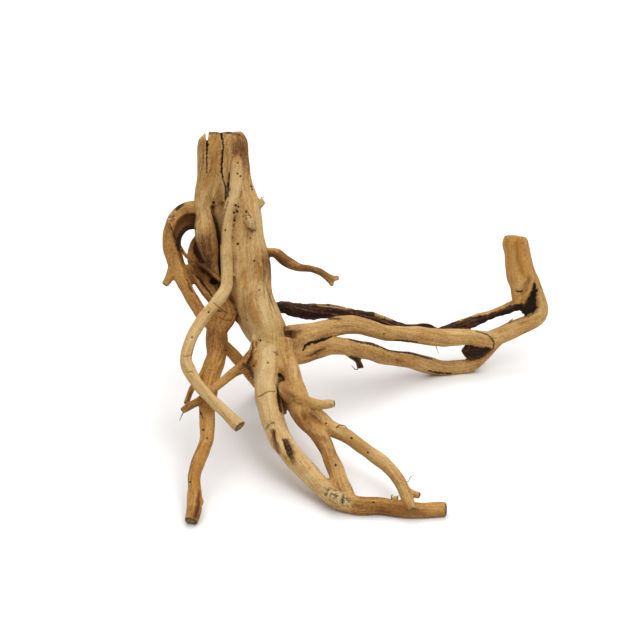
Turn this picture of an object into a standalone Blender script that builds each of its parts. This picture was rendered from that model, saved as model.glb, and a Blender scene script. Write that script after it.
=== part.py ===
"""Aquarium root: a branching piece of root wood that stands on the tips of its own roots.

The wood grew as one piece, so the model is one closed solid. Each limb follows a course: a
row of points, each with its thickness. A limb is a bundle of tubes, a core with strands
that wind slowly round it, as fused root fibres do. All the bundles are melted into one
skin, which is thinned to few faces. Then the hollows and the splits are cut, and last the
floor cuts the root tips flat.
"""

import math
import random

import bmesh
import bpy
from mathutils import Matrix, Vector

MM = 0.001

# Every course is set out on a board that leans back from upright and is sighted from some
# way off. A course point is its place across and up the board and how far behind the board
# it lies, then the limb's thickness there as sighted, all in millimetres.
BOARD_LEAN = math.radians(27)
SIGHT_LINE = 1500
BOARD_MIDDLE = Vector((-44, 22, 109))
RIGHT = Vector((1, 0, 0))
RISE = Vector((0, math.sin(BOARD_LEAN), math.cos(BOARD_LEAN)))
AWAY = Vector((0, math.cos(BOARD_LEAN), -math.sin(BOARD_LEAN)))

# The bundle: how thick its core and its strands are, as shares of the limb, how far the
# strands wind round it in a millimetre, and how they wander and swell on the way.
CORE_SHARE = 0.94
STRAND_SHARE = 0.36
STRAND_TWIST = math.radians(0.55)
STRAND_WANDER = 0.25
STRAND_SWELL = 0.10
SWELLS_PER_MM = (0.06, 0.12)
SPACING_SPREAD = 0.3
STRANDS_THIN = 5
STRANDS_THICK = 7
THICK_FROM = 20
FLUTED_FROM = 9
COURSE_STEP = 4
TUBE_BEVELS = 3
SEED = 41

# The skin, and what smoothing and thinning take off a limb's radius, added beforehand
SKIN_CELL = 1.6
SKIN_ALLOWANCE = 0.6
SMOOTHING_ROUNDS = 2
FACE_BUDGET = 8700

# The floor block that wears the root tips flat: half its thickness and half its width
GROUND_DEPTH = 30
GROUND_REACH = 400

WELD_DISTANCE = 0.01
SPLIT_TAPER = 0.25

WOOD_COLOUR = (0.58, 0.38, 0.19, 1.0)
WOOD_ROUGHNESS = 0.72

# The trunk is three lobes against a back core. Two long splits run down from its cut top.
TRUNK = {
    "left_lobe": [
        (-108.5, 182, 4, 17), (-111, 177, 4, 23), (-111, 157, 4, 24.5), (-114, 134, 5, 21),
        (-117, 113, 6, 19), (-115, 100, 6, 22), (-112.5, 86, 5, 25), (-109.5, 70, 4, 22),
        (-104.5, 52, 4, 15), (-98, 39, 3, 8),
    ],
    "middle_lobe": [
        (-104, 187, 7, 24), (-104, 160, 7, 24), (-105, 136, 7, 21), (-106, 121, 6, 15),
        (-107, 115, 5, 8),
    ],
    "right_lobe": [
        (-87, 184, 6, 18), (-85, 178, 5, 25), (-84, 157, 4, 27.5), (-82, 134, 4, 30.5),
        (-77.5, 115, 4, 36.5), (-75.5, 98, 4, 38), (-74.5, 75, 3, 40), (-70, 57, 3, 42),
        (-68, 29, 2, 41), (-63.5, 12, 1, 41), (-55, -7, 0, 38.5), (-50.5, -24, -1, 34),
        (-48, -36, -3, 34),
    ],
    "back_core": [
        (-98, 185, 18, 33), (-96.5, 150, 20, 39), (-93, 115, 24, 42), (-89, 75, 26, 40),
        (-80, 32, 23, 38), (-66, 2, 17, 33), (-50, -26, 12, 30), (-42, -38, 8, 24),
    ],
    "lobe_filling": [(-94, 181, 3, 16), (-94, 160, 3, 17), (-93, 138, 2, 15), (-93, 118, 3, 10)],
    "side_ridge": [(-59, 60, 12, 12), (-55, 30, 10, 13), (-47, 8, 8, 14), (-41, -8, 8, 16)],
    "face_knot": [(-72, 104, -9, 10), (-70.5, 98, -17, 9.5), (-68, 93, -21, 7), (-66, 91.5, -23, 4)],
    "edge_bud": [(-61, 118, 4, 12), (-57, 114, 2, 6.5)],
}

# The thin pale root is fused to the trunk's face, then swings out in front of the legs.
FRONT_ROOT = {
    "front_root": [
        (-83, 162, -7, 9), (-83, 155, -12, 12), (-83.5, 142, -14.5, 12.5), (-85, 130, -16, 12),
        (-87.5, 120, -16.5, 12), (-90.5, 110, -16, 11.5), (-92.5, 99, -15.2, 11), (-94, 84, -14.5, 10.7),
        (-93.7, 70, -14, 11.4), (-93, 45, -15, 12), (-94.5, 31, -18, 12.5),
        (-103, 18, -24, 12.5), (-113, 7, -29, 12), (-120.5, -4, -34, 12), (-128.5, -18, -40, 12),
        (-133, -32, -46, 12), (-134, -41, -51, 12), (-130.5, -51, -56, 13), (-124, -62, -62, 12),
        (-113, -75, -68, 11.5), (-103, -85, -74, 11.5), (-91, -96, -80, 12.5),
        (-80, -107, -86, 13),
    ],
}

# The left side: an arch with a broken stub, a hollow panel behind it, and thin splinters.
LEFT_SIDE = {
    "arch": [
        (-112, 103, 14, 26), (-127, 105, 14, 28.5), (-138.5, 100.5, 14, 26.5), (-146.5, 87, 14, 21),
        (-148, 72, 13, 18), (-144.5, 58, 12, 17.5), (-140, 46, 10, 15.5), (-136, 37, 7, 13.5),
        (-131.2, 27, 4, 12.5), (-123.3, 13.5, -1, 12.5), (-116.5, 4, -4, 13), (-108, -5, -5, 13),
    ],
    "arch_stub": [(-146, 52, 10, 12), (-151, 42, 8, 9), (-155.5, 35, 7, 6.5)],
    "panel": [
        (-112, 84, 24, 20), (-119.7, 72, 24, 22.5), (-121.7, 60, 21, 22), (-117.5, 48, 18, 18),
        (-110.5, 37, 14, 16), (-104, 27, 10, 16), (-97, 16, 5, 16), (-92, 6, 0, 18),
        (-97, -4, -3, 17), (-101, -14, -6, 13), (-103, -26, -11, 9),
    ],
    "panel_strand": [
        (-131, 56, 12, 6), (-128, 46, 10, 6.5), (-122.8, 37.5, 8, 7), (-117, 29.3, 6, 7),
        (-110, 20.5, 4, 6.5), (-103, 11, 2, 7),
    ],
    "arch_splinter": [
        (-152, 101, 3, 3.4), (-145, 85, 1, 3.4), (-136, 67, 1.5, 3.4), (-131, 62.5, 3, 4.5),
        (-119, 55, 1, 3.2), (-109, 47.5, -4, 3.2), (-99, 39, -5, 3.2),
    ],
}

# The legs under the trunk: left, hidden back, and the thin twigs beside the left one.
LEGS = {
    "left_leg": [
        (-101, 8, 0, 17), (-103, -7, -2, 20), (-103, -20, -7, 22.5), (-103.5, -33, -16, 21),
        (-105, -43, -24, 20), (-109, -57, -34, 18), (-111.5, -75, -46, 17),
        (-112.6, -95, -60, 16), (-112.7, -117, -75, 14), (-116.2, -129, -83, 13.5),
        (-121.6, -141, -91, 14), (-124.7, -150, -97, 12.5), (-126.3, -159, -103, 12.5),
        (-125.6, -168, -109, 13), (-125.5, -177, -115, 14.5), (-126, -188, -122, 15.5),
        (-129.5, -201.5, -130, 13.5),
    ],
    "left_leg_spur": [(-121, -179, -117, 8), (-117.5, -184, -120, 4)],
    "back_leg": [
        (-98, -24, 0, 12), (-87, -34, 12, 11.5), (-76, -47, 38, 11), (-65, -60, 66, 12),
        (-54, -69.5, 91, 15),
    ],
    "leg_strand": [
        (-111, -37, -22, 6), (-119, -54, -34, 4), (-128, -68, -44, 5.5), (-134, -84, -52, 5.5),
    ],
    "cross_twig": [
        (-60, -28, -4, 17), (-67, -36.5, -15, 14.5), (-78, -46, -32, 10.5), (-92, -57, -45, 9),
        (-107, -69, -53, 8.5), (-120, -80, -56, 7.5), (-130, -85.5, -56, 7.5),
        (-138, -91, -56, 6),
    ],
    "cross_twig_strand": [
        (-66, -16, -11, 4), (-68, -28, -18, 4.5), (-71.5, -37.5, -27, 5), (-81, -47, -37, 5),
    ],
    "cross_twig_sheaf": [(-60, -38, -8, 9), (-67, -46, -16, 8), (-75, -50, -28, 5.5), (-84, -54, -38, 4)],
}

# The two front legs, which meet again in the foot that lies along the floor.
FRONT_LEGS = {
    "first_front_leg": [
        (-52, -24, -2, 31), (-54, -40, -10, 27), (-53, -55, -20, 26), (-53, -70, -31, 25),
        (-51, -84, -42, 24.5), (-48.5, -95, -50, 24), (-45, -107, -58, 24),
        (-40.3, -118.3, -66, 23), (-32.5, -129, -73, 22.5), (-24, -140, -82, 21.5),
        (-15.5, -149, -88, 21), (-7, -157.5, -95, 20), (2.5, -166.5, -101, 19.5),
        (12, -175, -107, 20), (22, -180.5, -110, 20), (33, -184, -112, 18.5),
    ],
    "foot": [
        (22, -181, -110, 18), (38, -185, -112, 19), (50, -186, -113, 18), (63, -186, -113, 17.5),
        (75, -188, -115.5, 17), (89, -190, -117, 16), (102, -190.3, -117.5, 15),
        (115, -189.6, -116.5, 15), (126, -189.3, -115.5, 14),
    ],
    "leg_splinter": [
        (-44, -113, -74, 4), (-40, -123, -83.5, 6), (-35, -134, -92, 6), (-31, -142, -98, 4),
    ],
    "foot_knot": [(9, -176, -114, 14), (22, -179, -118, 13)],
    "foot_bud": [(73, -183, -118, 8), (76, -176, -118, 4.5)],
    "second_front_leg": [
        (-40, -22, -2, 27), (-37, -34, -8, 23), (-31.5, -50, -20, 21), (-27, -65, -32, 21),
        (-22, -81, -44, 25), (-15.5, -95, -54, 23.5), (-6.5, -107.5, -63, 19), (1.5, -119.5, -72, 17),
        (7, -129, -77, 16), (11, -139, -84, 17), (16, -150, -91, 17), (19, -160, -98, 17.5),
        (23, -170, -105, 18), (28, -178, -110, 16),
    ],
    "forked_limb": [
        (-16, -88, -48, 20), (-10, -94, -53, 20), (-1.5, -99.5, -57, 19), (8, -107, -62, 16.5),
        (18.5, -112, -66, 15.5), (28.5, -117.5, -70, 14.5), (39.5, -125.5, -76, 14),
        (50.5, -133.7, -82, 13.5),
        (61.5, -141.5, -88, 13.5), (71, -150, -95, 13), (78, -159, -102, 12.5),
        (82.5, -167, -109, 12), (86.5, -176, -117, 12), (90, -184, -124, 10), (93, -190, -128, 6.5),
    ],
    "forked_limb_bud": [(86, -171, -112, 8), (94, -174, -116, 7), (100, -175.5, -118, 6.5)],
    "front_stub": [
        (-38, -63, -36, 6), (-34, -73, -46, 14), (-24, -78, -54, 14), (-12, -82, -58, 12),
        (0, -84.5, -60, 10), (8, -84, -62, 9.5), (15, -83.5, -63.5, 6.5),
    ],
    "crotch_core": [
        (-40.5, -62, -22, 7), (-39, -75, -31, 8), (-37.5, -90, -43, 8), (-35, -100, -51, 6),
    ],
}

# The right-hand limbs: two that part and meet again, the dark decayed one above them, and
# the upright limb that all three end in.
RIGHT_SIDE = {
    "under_strip": [(-92, 8, 8, 8), (-80, -2, 12, 5), (-68, -18, 14, 6), (-56, -28, 16, 12)],
    "upper_limb": [
        (-62, -20, 14, 30), (-40, -22, 16, 32), (-24, -18, 22, 28), (-8, -14, 32, 22),
        (6, -9, 42, 19.5), (20, -5.5, 52, 19.5), (36, -5, 61, 18), (50, -8, 69, 17),
        (64, -12.5, 77, 15.5), (78, -13.5, 85, 15), (93, -14.5, 93, 17), (107, -16.5, 101, 18),
        (121, -18, 107, 18), (135, -17.5, 112, 17), (150, -17, 117, 15.5), (164, -19, 121, 16.5),
        (176, -20, 123, 18),
    ],
    "lower_limb": [
        (-38, -32, 14, 28), (-22, -34, 20, 23), (-6, -30, 28, 19), (10, -26, 36, 18.5),
        (25, -26.5, 44, 17), (38, -29, 52, 18), (52, -32, 62, 18), (66, -36.5, 73, 16.5),
        (79, -38.5, 85, 15.5), (93, -40.5, 99, 16.5), (105, -44.5, 112, 17),
        (117, -47.5, 121, 16), (129, -48, 125, 15.5), (141, -47, 127, 14.5),
        (152, -44.5, 127, 13), (160, -40, 127, 11), (167, -33, 127, 10), (173, -26, 127, 10),
        (182, -18, 127, 10), (192, -11, 127, 9),
    ],
    "limb_web": [
        (146, -27, 121, 9), (150, -31.5, 124, 15), (157, -32, 126, 16), (166, -28.5, 127, 13),
        (177, -20, 126, 10),
    ],
    "hanging_splinter": [(27, -31, 46, 8), (34, -36, 49, 8), (38.5, -42, 51, 6), (40, -48, 52, 6.5)],
    "splinter_fork": [(40, -46, 52, 5), (44, -46.5, 53, 3)],
    "decayed_limb": [
        (-62, 10, 28, 13), (-46, 11, 36, 12), (-36, 13, 41, 13), (-26, 10, 46, 14),
        (-9, 8.5, 58, 16), (10, 8.5, 69, 15), (25, 5.5, 78, 14.5), (40, 2, 87, 15),
        (56, -1, 95, 15), (72, -6.5, 103, 13.5), (89, -10.5, 111, 13), (105, -10, 116, 14),
        (117, -14.5, 119, 14), (129, -11, 122, 13), (141, -6, 124, 13.5), (153, -1.5, 126, 12),
        (166, 3.5, 127, 9.5), (178, 8.5, 128, 9), (192, 13.5, 128, 11), (203, 17.5, 127, 14),
    ],
    "heel": [
        (168, -20, 124, 18), (183, -14, 126, 17.5), (198, -7, 127, 17), (211, -1.5, 128, 17),
        (219.8, 4, 128, 15.5), (222.8, 12, 128, 11.5), (220.5, 22, 127, 10.5), (216.5, 32, 125.5, 11.5),
        (211.5, 42, 124, 13.5), (207.5, 50, 122, 11),
    ],
    "upright_limb": [
        (196.3, 81.2, 120.8, 25.5), (195.6, 77, 119.8, 27), (197, 70, 119, 26.5),
        (198, 62, 119.5, 27), (199.5, 50, 121, 29), (202, 41, 122, 29), (201.5, 31, 122, 22),
        (199.5, 23, 122, 16),
        (199, 17, 123, 11),
    ],
    "cavity_core": [(214.5, 37, 129, 6), (211.5, 27, 131, 13), (209, 16, 132, 16), (205, 6, 130, 10)],
    "far_twig": [
        (-60, 68, 12, 12), (-50, 67.5, 10, 8.5), (-43, 66.5, 7, 10), (-37, 61, 4, 11),
        (-30, 56.5, 1, 10.5), (-21, 52.5, -2, 8), (-9, 51, -5, 7), (0, 48, -8, 7.5),
        (7, 44, -10, 7), (14, 41.5, -11, 6), (19, 42.5, -12, 4.5),
    ],
    "far_twig_fork": [(5, 44, -9, 6), (11, 37.5, -10, 5), (12.5, 34, -10, 4)],
}

# Rot and wear have opened these hollows in the wood. Each is a course of its own.
HOLLOWS = {
    "beside_front_root": [(-90.5, 145, -10, 3), (-92, 136, -10, 6), (-93, 127, -11, 3)],
    "arch_trough": [
        (-125, 97, 3, 19), (-131, 97, 2, 20), (-138, 90.5, 1, 15), (-141, 80, 3, 10),
        (-138.5, 69, 5, 5),
    ],
    "arch_top_hole": [(-142.5, 114, 0, 6), (-141, 116, 10, 5)],
    "panel_pit": [(-124.5, 77, 13, 6), (-121, 69, 13, 11), (-117.5, 61, 11, 7)],
    "panel_lower_pit": [(-119.5, 53.5, 10, 4), (-115.5, 50.5, 9, 7), (-111.5, 47, 8, 4)],
    "panel_hole": [(-106, 39.5, 2, 9), (-106.5, 38.5, 10, 7)],
    "crotch_above_stub": [(-40, -53, -26, 3), (-36, -59, -34, 8), (-30, -67, -40, 5)],
    "crotch_beside_stub": [(-41, -66, -36, 4), (-40, -78, -46, 6), (-38, -90, -56, 5)],
    "leg_knot_hole": [(-33, -121, -80, 4), (-31, -130, -86, 8), (-29, -140, -93, 4)],
    "limb_knot_hole": [(-36, -12, 2, 8), (-28, -14, 6, 8)],
    "lobe_wedge": [
        (-107, 113, 1, 3), (-104.5, 103, 2, 6), (-102, 84, 2, 8.5), (-100.5, 62, 2, 8.5),
        (-99.5, 46, 1, 6),
    ],
    "leg_side_pit": [(-46, -112, -72, 4), (-44.5, -119, -76, 5.5), (-42, -129, -83, 4)],
}

# The splits in the trunk: where each starts at the cut top and ends, its width at the top,
# and how far behind the board it reaches from and to.
SPLITS = {
    "left_split": ((-113, 192), (-113, 150), 2.4, -20, 16),
    "left_split_through": ((-113.2, 192), (-112.8, 172), 2.6, -20, 50),
    "long_split": ((-98.3, 192), (-97, 128), 2.2, -30, 12),
}


def on_board(across, up, back):
    """The place in space of a point given by where it shows on the board and its depth."""
    spread = 1 + back / SIGHT_LINE
    return (BOARD_MIDDLE + (RIGHT * across + RISE * up) * spread + AWAY * back) * MM


def smooth_course(rows, allowance):
    """A curve through a course's points: places and radii, about COURSE_STEP apart."""
    knots = []
    for across, up, back, thick in rows:
        spread = 1 + back / SIGHT_LINE
        knots.append((on_board(across, up, back), (thick / 2 * spread + allowance) * MM))
    places = []
    radii = []
    for i in range(len(knots) - 1):
        before = knots[max(i - 1, 0)]
        start = knots[i]
        end = knots[i + 1]
        after = knots[min(i + 2, len(knots) - 1)]
        steps = max(1, round((end[0] - start[0]).length / (COURSE_STEP * MM)))
        for step in range(steps):
            t = step / steps
            places.append(catmull_rom(before[0], start[0], end[0], after[0], t))
            radii.append(catmull_rom(before[1], start[1], end[1], after[1], t))
    places.append(knots[-1][0])
    radii.append(knots[-1][1])
    return places, radii


def catmull_rom(before, start, end, after, t):
    """A value between start and end on the smooth curve through all four."""
    bend = (before * 2 - start * 5 + end * 4 - after) * t * t
    turn = (start * 3 - before - end * 3 + after) * t * t * t
    return (start * 2 + (end - before) * t + bend + turn) / 2


def side_directions(places):
    """Two directions across the course at each point, carried along it without a twist."""
    sides = []
    side = RIGHT
    for i in range(len(places)):
        ahead = (places[min(i + 1, len(places) - 1)] - places[max(i - 1, 0)]).normalized()
        if i == 0 and abs(ahead.dot(side)) > 0.9:
            side = RISE
        side = (side - ahead * side.dot(ahead)).normalized()
        sides.append((side, ahead.cross(side)))
    return sides


def add_tube(curve, places, radii):
    """One more tube on the curve object, of its own radius at each point."""
    spline = curve.splines.new("POLY")
    spline.points.add(len(places) - 1)
    for point, place, radius in zip(spline.points, places, radii):
        point.co = (*place, 1)
        point.radius = radius


def add_bundle(curve, rows, draw):
    """A limb as a core with strands that wind round it, or as a plain tube if it is thin."""
    places, radii = smooth_course(rows, SKIN_ALLOWANCE)
    thickest = max(thick for across, up, back, thick in rows)
    if thickest < FLUTED_FROM:
        add_tube(curve, places, radii)
        return
    add_tube(curve, places, [radius * CORE_SHARE for radius in radii])
    sides = side_directions(places)
    strands = STRANDS_THIN if thickest < THICK_FROM else STRANDS_THICK
    start_angle = draw.uniform(0, math.tau)
    for strand in range(strands):
        spacing = draw.uniform(-SPACING_SPREAD, SPACING_SPREAD)
        angle = start_angle + math.tau * strand / strands + spacing
        beat = draw.uniform(*SWELLS_PER_MM) * COURSE_STEP
        strand_places = []
        strand_radii = []
        for i, (place, radius) in enumerate(zip(places, radii)):
            wander = STRAND_WANDER * math.sin(beat * i + angle)
            turn = angle + STRAND_TWIST * COURSE_STEP * i + wander
            swell = 1 + STRAND_SWELL * math.sin(beat * i + strand)
            strand_radius = radius * STRAND_SHARE * swell
            across, over = sides[i]
            offset = across * math.cos(turn) + over * math.sin(turn)
            strand_places.append(place + offset * (radius - strand_radius))
            strand_radii.append(strand_radius)
        add_tube(curve, strand_places, strand_radii)


def wood_material():
    material = bpy.data.materials.new("root_wood")
    material.use_nodes = True
    shader = material.node_tree.nodes["Principled BSDF"]
    shader.inputs["Base Color"].default_value = WOOD_COLOUR
    shader.inputs["Roughness"].default_value = WOOD_ROUGHNESS
    shader.inputs["Metallic"].default_value = 0
    return material


def new_tube_curve(name):
    curve = bpy.data.curves.new(name, "CURVE")
    curve.dimensions = "3D"
    curve.bevel_depth = 1
    curve.bevel_resolution = TUBE_BEVELS
    curve.use_fill_caps = True
    return curve


def closed_mesh(curve, collection):
    """The curve's tubes as a mesh whose caps are welded on."""
    guide = bpy.data.objects.new(curve.name, curve)
    collection.objects.link(guide)
    bpy.context.view_layer.update()
    evaluated = guide.evaluated_get(bpy.context.evaluated_depsgraph_get())
    mesh = bpy.data.meshes.new_from_object(evaluated)
    form = bmesh.new()
    form.from_mesh(mesh)
    bmesh.ops.remove_doubles(form, verts=form.verts, dist=WELD_DISTANCE * MM)
    form.to_mesh(mesh)
    form.free()
    bpy.data.objects.remove(guide)
    return mesh


def build_limbs(collection):
    """All the bundles as one object."""
    curve = new_tube_curve("limbs")
    draw = random.Random(SEED)
    for group in (TRUNK, FRONT_ROOT, LEFT_SIDE, LEGS, FRONT_LEGS, RIGHT_SIDE):
        for rows in group.values():
            add_bundle(curve, rows, draw)
    mesh = closed_mesh(curve, collection)
    mesh.materials.clear()
    mesh.materials.append(wood_material())
    wood = bpy.data.objects.new("root_wood", mesh)
    collection.objects.link(wood)
    return wood


def add_skin(wood):
    """Melts the tubes into one skin, softens it and thins it to the face budget."""
    skin = wood.modifiers.new("skin", "REMESH")
    skin.mode = "VOXEL"
    skin.voxel_size = SKIN_CELL * MM
    soft = wood.modifiers.new("soft", "SMOOTH")
    soft.factor = 0.5
    soft.iterations = SMOOTHING_ROUNDS
    bpy.context.view_layer.update()
    evaluated = wood.evaluated_get(bpy.context.evaluated_depsgraph_get())
    evaluated_faces = sum(len(face.vertices) - 2 for face in evaluated.data.polygons)
    thin = wood.modifiers.new("thin", "DECIMATE")
    thin.ratio = FACE_BUDGET / evaluated_faces


def cutter(collection, name, mesh):
    tool = bpy.data.objects.new(name, mesh)
    tool.hide_render = True
    tool.display_type = "WIRE"
    collection.objects.link(tool)
    return tool


def hollow_cutter(collection, name, rows):
    """A hollow's course as one plain tube."""
    curve = new_tube_curve(name)
    add_tube(curve, *smooth_course(rows, 0))
    return cutter(collection, name, closed_mesh(curve, collection))


def block(name):
    """A block from -1 to 1 each way, as a form to shape and its mesh."""
    form = bmesh.new()
    bmesh.ops.create_cube(form, size=2)
    return form, bpy.data.meshes.new(name)


def split_cutter(collection, name, top, bottom, width, front, back):
    """A blade through the trunk that narrows to an edge at the foot of the split."""
    form, mesh = block(name)
    for corner in form.verts:
        across, up = top if corner.co.z > 0 else bottom
        half = width / 2 if corner.co.z > 0 else width / 2 * SPLIT_TAPER
        depth = back if corner.co.y > 0 else front
        corner.co = on_board(across + half * corner.co.x, up, depth)
    form.to_mesh(mesh)
    form.free()
    return cutter(collection, name, mesh)


def ground_cutter(collection):
    """The floor: a block whose top is where the root tips are worn flat."""
    form, mesh = block("ground")
    size = Matrix.Diagonal((GROUND_REACH * MM, GROUND_REACH * MM, GROUND_DEPTH * MM, 1))
    down = Matrix.Translation((0, 0, -GROUND_DEPTH * MM))
    bmesh.ops.transform(form, matrix=down @ size, verts=form.verts)
    form.to_mesh(mesh)
    form.free()
    return cutter(collection, "ground", mesh)


def cut(wood, tool):
    step = wood.modifiers.new(tool.name, "BOOLEAN")
    step.operation = "DIFFERENCE"
    step.solver = "EXACT"
    step.object = tool


def new_collection(name):
    collection = bpy.data.collections.new(name)
    bpy.context.scene.collection.children.link(collection)
    return collection


for leftover in list(bpy.data.objects):
    bpy.data.objects.remove(leftover)

model = new_collection("aquarium_root")
cutters = new_collection("cutters")
wood = build_limbs(model)
add_skin(wood)
for name, rows in HOLLOWS.items():
    cut(wood, hollow_cutter(cutters, name, rows))
for name, sizes in SPLITS.items():
    cut(wood, split_cutter(cutters, name, *sizes))
cut(wood, ground_cutter(cutters))
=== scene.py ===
"""How the aquarium root looks: one grown piece of pale root wood on a white floor.

The limbs are grown as the solid's are, as bundles of fibres along courses, then melted into
one much finer skin, worn into relief and coloured.
"""

import math
import random

import bpy
import numpy as np
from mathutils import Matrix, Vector, noise
from mathutils.kdtree import KDTree


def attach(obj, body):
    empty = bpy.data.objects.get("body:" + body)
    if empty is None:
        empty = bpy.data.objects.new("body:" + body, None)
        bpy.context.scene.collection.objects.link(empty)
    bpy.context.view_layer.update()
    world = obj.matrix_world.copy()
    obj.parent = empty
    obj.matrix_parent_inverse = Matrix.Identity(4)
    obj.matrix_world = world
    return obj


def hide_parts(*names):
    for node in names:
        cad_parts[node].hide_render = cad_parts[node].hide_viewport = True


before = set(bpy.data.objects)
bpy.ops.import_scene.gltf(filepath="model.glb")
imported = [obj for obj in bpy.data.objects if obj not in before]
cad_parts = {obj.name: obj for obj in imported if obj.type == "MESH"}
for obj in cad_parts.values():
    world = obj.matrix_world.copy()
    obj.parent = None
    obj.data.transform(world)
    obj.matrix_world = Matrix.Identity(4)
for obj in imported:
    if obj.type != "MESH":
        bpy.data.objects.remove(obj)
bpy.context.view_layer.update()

# The camera stands a metre and a half off and looks down at the root by 27 degrees. What it
# sees is set out in millimetres across and up a board square to its sight line, from the
# board's middle, so a course is written as it shows.
MM = 0.001
BOARD_LEAN = math.radians(27)
SIGHT_LINE = 1500
BOARD_WIDTH = 640
BOARD_MIDDLE = Vector((-44, 22, 109))
RIGHT = Vector((1, 0, 0))
RISE = Vector((0, math.sin(BOARD_LEAN), math.cos(BOARD_LEAN)))
AWAY = Vector((0, math.cos(BOARD_LEAN), -math.sin(BOARD_LEAN)))
FILM_WIDTH = 36

bpy.ops.object.camera_add(location=(BOARD_MIDDLE - AWAY * SIGHT_LINE) * MM)
camera = bpy.context.object
camera.rotation_euler = AWAY.to_track_quat("-Z", "Y").to_euler()
camera.data.sensor_width = FILM_WIDTH
camera.data.lens = FILM_WIDTH * SIGHT_LINE / BOARD_WIDTH
camera.data.clip_start = 0.05
bpy.context.scene.camera = camera


def on_board(across, up, back=0):
    """The place in space, in mm, of a point given by where it shows and its depth."""
    spread = 1 + back / SIGHT_LINE
    return BOARD_MIDDLE + (RIGHT * across + RISE * up) * spread + AWAY * back


# The trunk: three fused lobes of hard pale wood against a back core, sawn off square at the
# top, where two splits start. A worn branch knot and a bud stand out of its face and side.
# Each row of a course is across, up and back on the board, then the thickness, all in mm.
TRUNK = {
    "left_lobe": [
        (-108.5, 182, 4, 17), (-111, 177, 4, 23), (-111, 157, 4, 24.5), (-114, 134, 5, 21),
        (-117, 113, 6, 19), (-115, 100, 6, 22), (-112.5, 86, 5, 25), (-109.5, 70, 4, 22),
        (-104.5, 52, 4, 15), (-98, 39, 3, 8),
    ],
    "middle_lobe": [
        (-104, 187, 7, 24), (-104, 160, 7, 24), (-105, 136, 7, 21), (-106, 121, 6, 15), (-107, 115, 5, 8),
    ],
    "right_lobe": [
        (-87, 184, 6, 18), (-85, 178, 5, 25), (-84, 157, 4, 27.5), (-82, 134, 4, 30.5),
        (-77.5, 115, 4, 36.5), (-75.5, 98, 4, 38), (-74.5, 75, 3, 40), (-70, 57, 3, 42), (-68, 29, 2, 41),
        (-63.5, 12, 1, 41), (-55, -7, 0, 38.5), (-50.5, -24, -1, 34), (-48, -36, -3, 34),
    ],
    "back_core": [
        (-98, 185, 18, 33), (-96.5, 150, 20, 39), (-93, 115, 24, 42), (-89, 75, 26, 40), (-80, 32, 23, 38),
        (-66, 2, 17, 33), (-50, -26, 12, 30), (-42, -38, 8, 24),
    ],
    "lobe_filling": [(-94, 181, 3, 16), (-94, 160, 3, 17), (-93, 138, 2, 15), (-93, 118, 3, 10)],
    "side_ridge": [(-59, 60, 12, 12), (-55, 30, 10, 13), (-47, 8, 8, 14), (-41, -8, 8, 16)],
    "face_knot": [(-72, 104, -9, 10), (-70.5, 98, -17, 9.5), (-68, 93, -21, 7), (-66, 91.5, -23, 4)],
    "edge_bud": [(-61, 118, 4, 12), (-57, 114, 2, 6.5)],
}

COURSE_STEP = 4
FIBRE_TWIST = math.radians(0.55)
CORE_SHARE = 0.94
STRAND_SHARE = 0.36
STRAND_WANDER = 0.25
STRAND_SWELL = 0.10
SWELLS_PER_MM = (0.06, 0.12)
SPACING_SPREAD = 0.3
STRANDS_THIN, STRANDS_THICK = 5, 7
FLUTED_FROM, THICK_FROM = 9, 20
SKIN_ALLOWANCE = 0.35
TUBE_BEVELS = 3

limbs = []
limb_draw = random.Random(41)


def between(before, start, end, after, t):
    """A value between start and end on the smooth curve through all four."""
    bend = (before * 2 - start * 5 + end * 4 - after) * t * t
    turn = (start * 3 - before - end * 3 + after) * t * t * t
    return (start * 2 + (end - before) * t + bend + turn) / 2


def smooth_course(rows, allowance):
    """A smooth curve through a course: places and radii in mm, a step apart."""
    knots = []
    for across, up, back, thick in rows:
        spread = 1 + back / SIGHT_LINE
        knots.append((on_board(across, up, back), thick / 2 * spread + allowance))
    places, radii = [], []
    for i in range(len(knots) - 1):
        four = (knots[max(i - 1, 0)], knots[i], knots[i + 1], knots[min(i + 2, len(knots) - 1)])
        steps = max(1, round((four[2][0] - four[1][0]).length / COURSE_STEP))
        for step in range(steps):
            places.append(between(*(knot[0] for knot in four), step / steps))
            radii.append(between(*(knot[1] for knot in four), step / steps))
    places.append(knots[-1][0])
    radii.append(knots[-1][1])
    return places, radii


def side_directions(places):
    """At each point the way ahead and two ways across it, without a twist."""
    ways = []
    side = RIGHT
    for i in range(len(places)):
        ahead = (places[min(i + 1, len(places) - 1)] - places[max(i - 1, 0)]).normalized()
        if i == 0 and abs(ahead.dot(side)) > 0.9:
            side = RISE
        side = (side - ahead * side.dot(ahead)).normalized()
        ways.append((ahead, side, ahead.cross(side)))
    return ways


def new_tubes(name):
    """An empty curve object for round tubes, with radii in mm."""
    curve = bpy.data.curves.new(name, "CURVE")
    curve.dimensions = "3D"
    curve.bevel_depth = MM
    curve.bevel_resolution = TUBE_BEVELS
    curve.use_fill_caps = True
    tubes = bpy.data.objects.new(name, curve)
    bpy.context.scene.collection.objects.link(tubes)
    return tubes


def add_tube(tubes, places, radii):
    spline = tubes.data.splines.new("POLY")
    spline.points.add(len(places) - 1)
    for point, place, radius in zip(spline.points, places, radii):
        point.co = (*(place * MM), 1)
        point.radius = radius


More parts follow.
